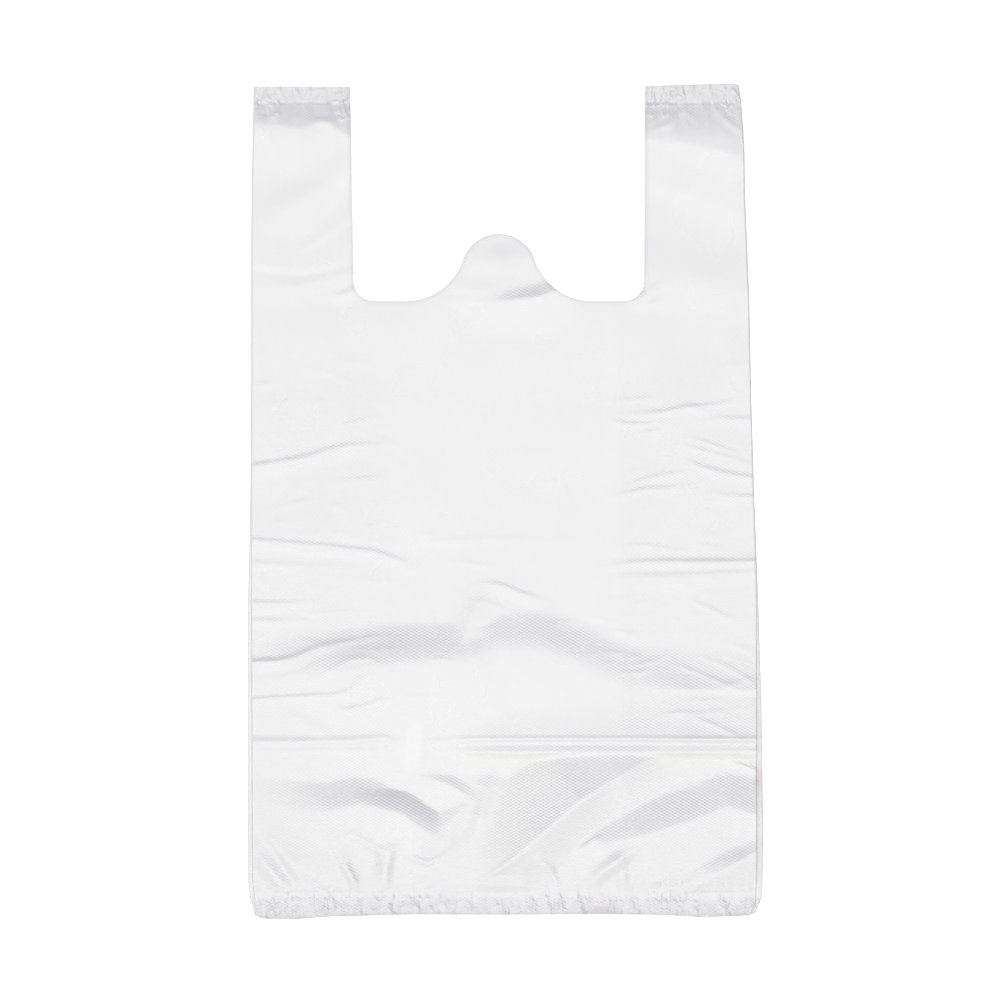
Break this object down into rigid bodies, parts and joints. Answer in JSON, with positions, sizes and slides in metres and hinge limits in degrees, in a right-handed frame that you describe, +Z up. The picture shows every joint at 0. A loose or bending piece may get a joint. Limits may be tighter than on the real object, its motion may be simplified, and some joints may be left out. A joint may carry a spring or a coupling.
{
  "type": "t-shirt bag",
  "caption": "Flat film t-shirt carrier bag with side gussets, handles, a die-cut mouth with a round tab, and a welded bottom seam.",
  "frame": {"origin": "middle of the bag's footprint, on the surface it lies on", "axes": "+X across the bag to the right seen from above, +Y along the bag from the bottom seam to the handles, +Z up out of the front"},
  "size_m": [0.307, 0.495, 0.0047],
  "materials": {
    "film": "milky white, thin translucent polyethylene film with a fine embossed diamond texture and a soft sheen"
  },
  "bodies": {
    "root": {"bag": "film"}
  },
  "joints": []
}
